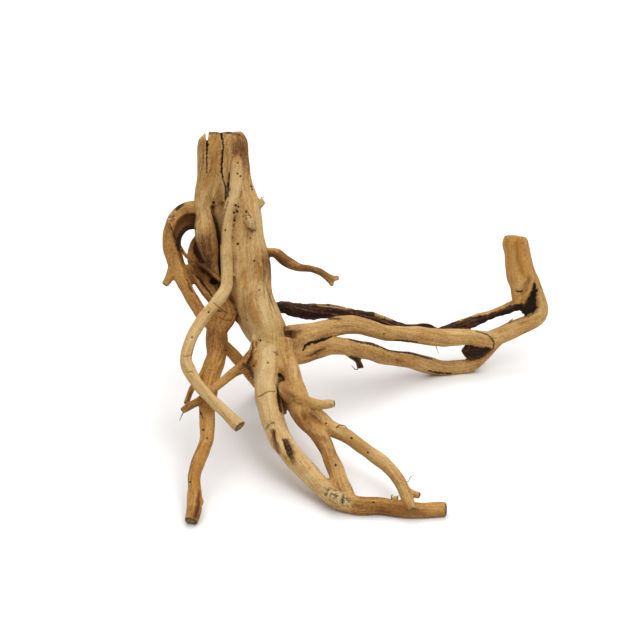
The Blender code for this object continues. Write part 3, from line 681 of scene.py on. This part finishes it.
# Parts painted paler or darker, mostly as painted light and shade and partly as the wood's own tone: across,
# up, half sizes, and the change
LIGHT_AND_TONE_ZONES = [
    (-98, 172, 40, 34, -0.15), (-79, 168, 13, 24, -0.2), (-116, 60, 12, 28, -0.4),
    (-103, -26, 14, 24, -0.15), (-50, -46, 15, 34, 0.17), (-56, 22, 5, 24, 0.12), (70, -34, 60, 9, -0.1),
    (-20, 55, 48, 22, -0.36), (8, -150, 14, 28, -0.06), (-145, 60, 16, 50, 0.05), (-70, 62, 18, 60, 0.1),
    (-62, -6, 20, 28, 0.14), (-60, 108, 8, 34, 0.1), (-84, 130, 8, 34, 0.06), (198, 55, 18, 32, 0.14),
]
# The limbs that end in a cut or a break, where the year rings show
CUT_LIMBS = (
    "left_lobe", "middle_lobe", "right_lobe", "back_core", "lobe_filling", "front_root", "arch_stub",
    "left_leg", "leg_strand", "cross_twig", "foot", "forked_limb", "forked_limb_bud", "front_stub",
    "upright_limb", "far_twig", "far_twig_fork",
)
# How much painted shade the hollows get that light reaches. The others are painted black with shade all
# through.
HOLLOW_SHADES = {
    "arch_trough": 0.3, "panel_pit": 0.45, "panel_lower_pit": 0.5, "leg_side_pit": 0.2,
    "limb_knot_hole": 0.6, "leg_knot_hole": 0.85,
}
# How far the surface may lie from a mark's or a zone's own depth, in mm
MARK_REACH, ZONE_REACH = 14, 40
TURNED_AWAY = 0.25
RAGGEDNESS, RAGGED_WAVES = 0.9, 0.45
HOLE_DEPTH = 1.3
RUST_BY_HOLLOWS = 0.8
# Where each effect starts and is full: shares of a mark's half width, or mm over a hollow
HOLE_DENT = (1.3, 0.4)
HOLE_DARK = (1.5, 0.8)
CRACK_DENT = (1.9, 0.3)
CRACK_DARK = (1.7, 0.8)
HOLLOW_DARK = (1.0, -0.2)
HOLLOW_RUST = (1.9, 0.4)
ZONE_FADE = (1.3, 0.3)


def as_seen(points):
    """Where points show on the board, and their depth behind it."""
    from_middle = points - np.array(BOARD_MIDDLE)
    back = from_middle @ np.array(AWAY)
    spread = 1 + back / SIGHT_LINE
    return from_middle @ np.array(RIGHT) / spread, from_middle @ np.array(RISE) / spread, back


def depth_in_front(across, up):
    """How far behind the board the wood is there, or None beside it."""
    eye = BOARD_MIDDLE - AWAY * SIGHT_LINE
    hit, place, facing, facet = root_wood.ray_cast(eye * MM, on_board(across, up) - eye)
    return (place / MM - BOARD_MIDDLE).dot(AWAY) if hit else None


def mark_share(rows):
    """0 in the middle of a mark, 1 at its edge and more outside, for each point of the skin."""
    share = np.full(len(skin_points), FAR)
    for (x0, y0, half0), (x1, y1, half1) in zip(rows, rows[1:] or rows):
        depth = depth_in_front((x0 + x1) / 2, (y0 + y1) / 2)
        if depth is None:
            continue
        near = np.flatnonzero(np.abs(seen[2] - depth) < MARK_REACH)
        dx, dy = x1 - x0, y1 - y0
        px, py = seen[0][near] - x0, seen[1][near] - y0
        t = np.clip((px * dx + py * dy) / max(dx * dx + dy * dy, 0.001), 0, 1)
        half = half0 + (half1 - half0) * t
        share[near] = np.minimum(share[near], np.hypot(px - t * dx, py - t * dy) / half)
    return share


def patches(marks, outer, inner):
    """Each mark's strength, which starts and is full at those shares of its ragged half width."""
    total = np.zeros(len(skin_points))
    for strength, rows in marks:
        cover = step_between(outer, inner, mark_share(rows) / raggedness)
        total = np.maximum(total, strength * cover * front)
    return total


seen = as_seen(skin_points)
front = skin_normals() @ np.array(AWAY) < TURNED_AWAY
raggedness = 1 + RAGGEDNESS * wavy(skin_points, RAGGED_WAVES, RAGGED_WAVES)
dents = np.zeros(len(skin_points))
darkness = patches(BLACK_AND_SHADE_PATCHES, outer=1.2, inner=0.8)
for across, up, radius in WORM_HOLES:
    share = mark_share([(across, up, radius)])
    dents += HOLE_DEPTH * radius * step_between(*HOLE_DENT, share) * front
    darkness = np.maximum(darkness, step_between(*HOLE_DARK, share) * front)
for depth, dark, rows in CRACKS:
    share = mark_share(rows) / raggedness
    dents = np.maximum(dents, depth * step_between(*CRACK_DENT, share) * front)
    darkness = np.maximum(darkness, dark * step_between(*CRACK_DARK, share) * front)
rust = patches(RUST_PATCHES, outer=1.5, inner=0.3)
orange = patches(ORANGE_STAINS, outer=1.8, inner=0.2)
grey = patches(GREY_KNOTS, outer=1.5, inner=0.4)
sound = patches(SOUND_PATCHES, outer=1.2, inner=0.6)
# The hollows are painted black with shade, and rust round their edges
hollow = np.zeros(len(skin_points))
for name, rows in HOLLOWS.items():
    places, radii = smooth_course(rows, 0)
    height = (np.linalg.norm(skin_points[:, None] - np.array(places), axis=2) - radii).min(1)
    if name == "arch_trough":
        # The trunk beside it stays pale
        height[owner < len(TRUNK)] = FAR
    shade = HOLLOW_SHADES.get(name, 1.0)
    hollow = np.maximum(hollow, shade * step_between(*HOLLOW_DARK, height))
    rust = np.maximum(rust, RUST_BY_HOLLOWS * step_between(*HOLLOW_RUST, height))
# Painted light and shade, and some of the wood's own tone, in soft ovals
light_and_tone_zones = np.zeros(len(skin_points))
for across, up, wide, high, change in LIGHT_AND_TONE_ZONES:
    depth = depth_in_front(across, up) or 0
    share = np.hypot((seen[0] - across) / wide, (seen[1] - up) / high)
    light_and_tone_zones += change * step_between(*ZONE_FADE, share) * (np.abs(seen[2] - depth) < ZONE_REACH)

# The relief: long flutes and fine raised fibres along the limbs, soft lumps all over, and
# much rougher flakes where the wood has rotted. Heights are in mm, and the waves are counted
# in a mm across and along.
FLUTE_HEIGHT, FLUTE_WAVES = 0.42, (0.16, 0.012)
FIBRE_HEIGHT, FIBRE_WAVES = 0.14, (0.75, 0.035)
LUMP_HEIGHT, LUMP_WAVES = 0.6, (0.07, 0.07)
FLAKE_HEIGHT, FLAKE_WAVES = 1.3, (0.33, 0.05)
CRUMB_SHARE, CRUMB_WAVES = 0.6, (0.22, 0.22)
KNOT_HEIGHT, KNOT_WAVES = 1.1, (0.32, 0.32)
# The relief's share where limbs join, and the clearance in mm where it is whole
JOIN_SHARE, JOIN_WIDTH = 0.3, 2.5

flakes = wavy(fibre, *FLAKE_WAVES) + CRUMB_SHARE * wavy(skin_points, *CRUMB_WAVES)
relief = FLUTE_HEIGHT * wavy(fibre, *FLUTE_WAVES) + FIBRE_HEIGHT * wavy(fibre, *FIBRE_WAVES)
relief += limb_rot * FLAKE_HEIGHT * flakes
relief += grey * KNOT_HEIGHT * wavy(skin_points, *KNOT_WAVES)
relief *= JOIN_SHARE + (1 - JOIN_SHARE) * step_between(0, JOIN_WIDTH, clearance)
relief = relief + LUMP_HEIGHT * wavy(skin_points, *LUMP_WAVES) - dents
skin_points = skin_points + skin_normals() * relief[:, None]
skin_points[:, 2] = np.maximum(skin_points[:, 2], 0)
root_wood.data.vertices.foreach_set("co", (skin_points * MM).ravel())
root_wood.data.update()

# Painted shade: wood is painted darker where it lies in a crease or is hemmed in, which shows in how far
# its near and wide surroundings stand over it, and what faces down is painted darker as shaded.
CREASE_ROUNDS, OCCLUSION_ROUNDS, TONE_ROUNDS, ROT_ROUNDS = 14, 70, 120, 3
UNDERSIDE_SHADE = -0.17
CUT_EDGE = (-1.2, -0.3)
pairs = read_rows(root_wood.data.edges, "vertices", 2, int)
neighbours = np.bincount(pairs.ravel(), minlength=len(skin_points))


def spread_over(values, rounds):
    """Each point's value, averaged with its neighbours' that many times."""
    for turn in range(rounds):
        total = np.bincount(pairs[:, 0], values[pairs[:, 1]], len(values))
        total += np.bincount(pairs[:, 1], values[pairs[:, 0]], len(values))
        values = 0.5 * values + 0.5 * total / neighbours
    return values


facing = skin_normals()
around = np.stack([spread_over(axis, CREASE_ROUNDS) for axis in skin_points.T], 1)
crease = ((around - skin_points) * facing).sum(1)
wider = np.stack([spread_over(axis, OCCLUSION_ROUNDS) for axis in around.T], 1)
shelter = ((wider - skin_points) * facing).sum(1)
# Each limb's own tone, with painted shade on what faces down
tone = of_limb("tone") + UNDERSIDE_SHADE * np.clip(-facing[:, 2], 0, 1)
looks = {
    "tone": spread_over(tone, TONE_ROUNDS) + light_and_tone_zones,
    "warmth": spread_over(of_limb("warmth"), TONE_ROUNDS),
    "rot": spread_over(limb_rot, ROT_ROUNDS) * (1 - sound),
    "cut_end": np.isin(of_limb("name"), CUT_LIMBS) * step_between(*CUT_EDGE, over_end),
    "orange": orange, "grey": grey, "rust": rust, "hollow": hollow, "darkness": darkness,
    "crease": crease, "shelter": shelter, "rim": fibre[:, 3],
}

# The facets: the skin is thinned where it is smooth, and keeps its looks and its fibres.
FACET_LIMIT = 190000
finish_with(root_wood, "DECIMATE", ratio=FACET_LIMIT / (2 * len(root_wood.data.polygons)))
finish_with(root_wood, "TRIANGULATE")
tree = KDTree(len(skin_points))
for index, place in enumerate(skin_points.tolist()):
    tree.insert(place, index)
tree.balance()
mesh = root_wood.data
thin_points = read_rows(mesh.vertices, "co") / MM
source = np.array([tree.find(place)[1] for place in thin_points.tolist()])
for name, values in looks.items():
    mesh.attributes.new(name, "FLOAT", "POINT").data.foreach_set("value", values[source])

corners = read_rows(mesh.loops, "vertex_index", 1, int).ravel()
owner, fibre = fibre_places(thin_points)[:2]
facet_owner = np.repeat(owner[corners[::3]], 3)
corner_fibre = fibre[corners]
astray = facet_owner != owner[corners]
for number in np.unique(facet_owner[astray]):
    moved = np.flatnonzero(astray & (facet_owner == number))
    corner_fibre[moved] = place_in_limb(number, thin_points[corners[moved]])[0]
fibre_attribute = mesh.attributes.new("fibre", "FLOAT_VECTOR", "CORNER")
fibre_attribute.data.foreach_set("vector", np.ascontiguousarray(corner_fibre[:, :3]).ravel())

# The finish of the wood: pale sand-blasted root wood, honey to tan, with streaks along its
# fibres, fine pores, warmer stains and nearly black rot, and painted shade in its creases and hollows.


def put_in(node, inputs):
    """Sets a node's inputs, or links them where the value is a node's output."""
    for name, value in inputs.items():
        if isinstance(value, bpy.types.NodeSocket):
            node.id_data.links.new(value, node.inputs[name])
        else:
            node.inputs[name].default_value = value


def new_finish(name, inputs):
    """A material, and its shader with those inputs."""
    finish = bpy.data.materials.new(name)
    finish.use_nodes = True
    shader = finish.node_tree.nodes["Principled BSDF"]
    put_in(shader, inputs)
    return finish, shader


wood, shader = new_finish("root_wood", {"Specular IOR Level": 0.22})


def new_node(kind, inputs, finish=wood, **settings):
    node = finish.node_tree.nodes.new("ShaderNode" + kind)
    for name, value in settings.items():
        setattr(node, name, value)
    put_in(node, inputs)
    return node


def measure(name):
    """A value kept on the skin."""
    return new_node("Attribute", {}, attribute_name=name).outputs["Fac"]


def reckon(operation, *values):
    """The result of one sum."""
    return new_node("Math", dict(enumerate(values)), operation=operation).outputs["Value"]


def times(value, factor):
    return reckon("MULTIPLY", value, factor)


def weighed(value, weight, total):
    """The total, with the value added by that weight."""
    return reckon("MULTIPLY_ADD", value, weight, total)


def rise(value, low, high):
    """0 below low, 1 above high, and smooth between them."""
    inputs = {"Value": value, "From Min": low, "From Max": high}
    return new_node("MapRange", inputs, interpolation_type="SMOOTHSTEP").outputs["Result"]


def stretched(source, across, along):
    """Places scaled for a pattern."""
    inputs = {0: source, 1: (across, across, along)}
    return new_node("VectorMath", inputs, operation="MULTIPLY").outputs["Vector"]


def cloudy(source, across, along, detail=3, roughness=0.55):
    """Noise from 0 to 1 with that many waves in a unit across and along."""
    vector = stretched(source, across, along)
    inputs = {"Vector": vector, "Scale": 1, "Detail": detail, "Roughness": roughness}
    return new_node("TexNoise", inputs).outputs["Fac"]


def ramp(value, *stops):
    """The colour at that value between stops, each a place and a colour."""
    step = new_node("ValToRGB", {"Fac": value})
    while len(step.color_ramp.elements) < len(stops):
        step.color_ramp.elements.new(0.5)
    for element, (place, colour) in zip(step.color_ramp.elements, stops):
        element.position = place
        element.color = (*colour, 1)
    return step.outputs["Color"]


def mix(share, under, over):
    """That share of one colour over another."""
    return new_node("Mix", {0: share, 6: under, 7: over}, data_type="RGBA").outputs[2]


fibre_place = new_node("Attribute", {}, attribute_name="fibre").outputs["Vector"]
place = new_node("TexCoord", {}).outputs["Object"]

# The lightness of sound wood, how much each pattern adds to it, and the painted shade and paler ridges from
# its form
MIDDLE_LIGHTNESS = 0.58
PATTERN_WEIGHTS = (0.64, 0.6, 0.68, 0.74)
CREASE_SHADE_WEIGHT, OCCLUSION_SHADE_WEIGHT, RIDGE_WEIGHT = -0.48, -0.38, 0.14

streaks = cloudy(fibre_place, 0.42, 0.018, detail=4)
fine_fibres = cloudy(fibre_place, 1.7, 0.06, roughness=0.65)
blotches = cloudy(place, 32, 32)
mottles = cloudy(place, 420, 420, detail=4, roughness=0.7)
lightness = reckon("ADD", measure("tone"), MIDDLE_LIGHTNESS)
for pattern, weight in zip((streaks, fine_fibres, blotches, mottles), PATTERN_WEIGHTS):
    lightness = weighed(reckon("SUBTRACT", pattern, 0.5), weight, lightness)
# Painted shade in creases and hemmed-in places, and paler ridges
lightness = weighed(rise(measure("crease"), 0.05, 1.1), CREASE_SHADE_WEIGHT, lightness)
lightness = weighed(rise(measure("shelter"), 0.2, 3.2), OCCLUSION_SHADE_WEIGHT, lightness)
lightness = weighed(rise(times(measure("crease"), -1), 0.05, 0.6), RIDGE_WEIGHT, lightness)

pale_wood = ramp(
    lightness, (0, (0.065, 0.025, 0.007)), (0.28, (0.22, 0.1, 0.027)),
    (0.52, (0.44, 0.255, 0.088)), (0.72, (0.575, 0.38, 0.155)), (1, (0.68, 0.5, 0.255)),
)
warm_wood = ramp(
    lightness, (0, (0.06, 0.019, 0.004)), (0.28, (0.2, 0.075, 0.013)),
    (0.52, (0.4, 0.185, 0.038)), (0.72, (0.53, 0.285, 0.078)), (1, (0.64, 0.42, 0.17)),
)
colour = mix(measure("warmth"), pale_wood, warm_wood)

# The most that each stain, mark or painted shade covers, and the colours of the plain ones
STRAY_COVER, ORANGE_COVER, END_COVER, HOLLOW_SHADE_COVER = 0.5, 0.75, 0.9, 0.92
PORE_COVER, FISSURE_COVER = 0.7, 0.5
ORANGE_STAIN = (0.4, 0.16, 0.018, 1)
HOLLOW_SHADE_BLACK = (0.012, 0.005, 0.003, 1)
MARK_AND_SHADE_BLACK = (0.016, 0.007, 0.004, 1)

stray_stains = rise(cloudy(place, 55, 55, detail=2), 0.6, 0.74)
stain = reckon("MAXIMUM", measure("orange"), times(stray_stains, STRAY_COVER))
stain = times(stain, rise(streaks, 0.22, 0.52))
colour = mix(times(stain, ORANGE_COVER), colour, ORANGE_STAIN)
rust_grain = times(measure("rust"), rise(mottles, 0.12, 0.45))
rust_wood = ramp(streaks, (0.3, (0.055, 0.015, 0.004)), (0.7, (0.26, 0.085, 0.016)))
colour = mix(rust_grain, colour, rust_wood)

# Knots are painted darker in their creases, as shade
knot_height = weighed(measure("crease"), -0.35, mottles)
knot_wood = ramp(
    knot_height, (0.36, (0.035, 0.02, 0.008)), (0.5, (0.25, 0.155, 0.065)), (0.6, (0.58, 0.44, 0.22)),
)
colour = mix(measure("grey"), colour, knot_wood)

RING_PHASE, RING_WOBBLE = 26, 5
ring_phase = weighed(mottles, RING_WOBBLE, times(measure("rim"), RING_PHASE))
end_depth = weighed(reckon("SINE", ring_phase), 0.06, weighed(mottles, 0.25, measure("rim")))
end_wood = ramp(
    end_depth, (0.1, (0.25, 0.18, 0.075)), (0.6, (0.17, 0.12, 0.048)), (0.85, (0.075, 0.052, 0.02)),
    (1, (0.025, 0.018, 0.008)),
)
colour = mix(times(measure("cut_end"), END_COVER), colour, end_wood)

rot_depth = reckon("ADD", times(streaks, 0.45), times(mottles, 0.3))
# Rot is painted darker in its creases, as shade
rot_depth = reckon("ADD", rot_depth, weighed(measure("crease"), -0.16, 0.12))
rot_wood = ramp(
    rot_depth, (0.4, (0.007, 0.004, 0.003)), (0.51, (0.035, 0.013, 0.006)),
    (0.6, (0.11, 0.043, 0.015)), (0.74, (0.32, 0.18, 0.07)),
)
colour = mix(measure("rot"), colour, rot_wood)
# Painted shade: the hollows go black
colour = mix(times(measure("hollow"), HOLLOW_SHADE_COVER), colour, HOLLOW_SHADE_BLACK)

pores = new_node("TexVoronoi", {"Vector": stretched(fibre_place, 0.22, 0.12), "Scale": 1})
pore_dots = rise(pores.outputs["Distance"], 0.16, 0.07)
pore_draw = new_node("SeparateColor", {"Color": pores.outputs["Color"]}).outputs["Red"]
pore_dots = times(pore_dots, rise(pore_draw, 0.8, 0.84))
fissures = reckon("ABSOLUTE", reckon("SUBTRACT", cloudy(fibre_place, 0.16, 0.007, detail=2), 0.5))
fissured = rise(cloudy(place, 60, 60, detail=1), 0.54, 0.66)
fissures = times(rise(fissures, 0.01, 0.002), fissured)
# Black marks, pores and fissures, with painted shade in holes, cracks and recesses
marks_and_shade = reckon("MAXIMUM", measure("darkness"), times(pore_dots, PORE_COVER))
marks_and_shade = reckon("MAXIMUM", marks_and_shade, times(fissures, FISSURE_COVER))
colour = mix(marks_and_shade, colour, MARK_AND_SHADE_BLACK)
roughness = weighed(measure("rot"), 0.1, weighed(mottles, 0.25, 0.6))

# How strongly each pattern raises the surface, and by how many mm in all
FIBRE_BUMP, MOTTLE_BUMP, STREAK_BUMP, MARK_BUMP = 0.55, 0.35, 0.5, -0.8
BUMP_HEIGHT = 1.2
height = weighed(fine_fibres, FIBRE_BUMP, times(mottles, MOTTLE_BUMP))
height = weighed(streaks, STREAK_BUMP, height)
height = weighed(marks_and_shade, MARK_BUMP, height)
bump = new_node("Bump", {"Strength": 0.55, "Distance": BUMP_HEIGHT * MM, "Height": height})
put_in(shader, {"Base Color": colour, "Roughness": roughness, "Normal": bump.outputs["Normal"]})



def coat(piece, finish):
    """Gives a piece its one finish, shaded smooth."""
    faces = piece.data.polygons
    faces.foreach_set("use_smooth", [True] * len(faces))
    piece.data.materials.clear()
    piece.data.materials.append(finish)


coat(root_wood, wood)
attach(root_wood, "root")
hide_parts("root_wood")

# The rootlets: hair-thin roots and splinters left at a few places, dry and brown. Each is a
# round tube that thins out.
ROOTLETS = [
    [(-136, -91, -56, 1.3), (-138.5, -96, -57, 0.9), (-140.5, -101, -58, 0.5)],
    [
        (82, -161, -104, 1.5), (85, -161.3, -106, 1.1), (88, -162, -108, 0.9), (90.4, -157, -106, 0.8),
        (94, -155, -105, 0.5),
    ],
    [(115.5, -25, 107, 1.2), (116.5, -28, 107, 0.8), (118.6, -33, 107, 0.5)],
    [(38, -49, 52, 1.4), (35, -49.5, 52, 1), (31.5, -45.5, 52, 0.6)],
    [(-61, 119, 4, 1.4), (-58, 122.5, 3, 0.9), (-55, 122, 2, 0.5)],
    [(-59, 116, 3, 1.2), (-55.5, 117.5, 2, 0.8), (-53.5, 116.5, 2, 0.5)],
    [(16, -107.5, -71, 1.4), (20, -104.8, -73, 1.2), (25, -105.8, -74, 1), (28, -109.5, -75, 0.6)],
    [(72, -180, -119, 1.8), (71.5, -176.5, -120, 1.3), (72.5, -174.5, -120, 0.8)],
    [(77, -178, -119, 1.6), (78.5, -175.5, -119, 1)],
    [(189, -2.5, 121, 1.8), (190.5, -0.5, 121, 1.4), (193, 1, 121, 0.8)],
]

rootlets = new_tubes("rootlets")
for rows in ROOTLETS:
    add_tube(rootlets, *smooth_course(rows, 0))
become_mesh(rootlets)
finish_with(rootlets, "TRIANGULATE")
dry_root, dry_shader = new_finish("dry_root", {"Roughness": 0.8})
dry_place = new_node("TexCoord", {}, dry_root).outputs["Object"]
dry_noise = new_node("TexNoise", {"Vector": dry_place, "Scale": 700}, dry_root)
dry_ramp = new_node("ValToRGB", {"Fac": dry_noise.outputs["Fac"]}, dry_root)
dry_ramp.color_ramp.elements[0].color = (0.05, 0.028, 0.014, 1)
dry_ramp.color_ramp.elements[1].color = (0.3, 0.19, 0.1, 1)
put_in(dry_shader, {"Base Color": dry_ramp.outputs["Color"]})
coat(rootlets, dry_root)
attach(rootlets, "root")

# The floor and the light: a plain white floor, a soft light panel overhead, one over the
# floor behind, a small one to the front right, and a little light from all round.
bpy.ops.mesh.primitive_plane_add(size=14)
floor = bpy.context.object
floor.name = "floor"
WHITE = (0.94, 0.94, 0.94, 1)
matt = {"Base Color": WHITE, "Roughness": 0.95, "Specular IOR Level": 0}
floor.data.materials.append(new_finish("floor", matt)[0])

world = bpy.data.worlds.new("studio")
world.use_nodes = True
put_in(world.node_tree.nodes["Background"], {"Color": (1, 1, 1, 1), "Strength": 0.34})
bpy.context.scene.world = world


def light_panel(size, energy, location, aim):
    bpy.ops.object.light_add(type="AREA", location=location)
    panel = bpy.context.object
    panel.data.size = size
    panel.data.energy = energy
    panel.rotation_euler = (Vector(aim) - Vector(location)).to_track_quat("-Z", "Y").to_euler()


light_panel(size=2.6, energy=37, location=(0, -0.1, 2), aim=(0, -0.1, 0))
light_panel(size=3.0, energy=46, location=(0, 2.3, 2), aim=(0, 2.1, 0))
light_panel(size=0.6, energy=4, location=(0.5, -0.9, 1.3), aim=(0, 0, 0.1))
bpy.context.scene.view_settings.view_transform = "Standard"
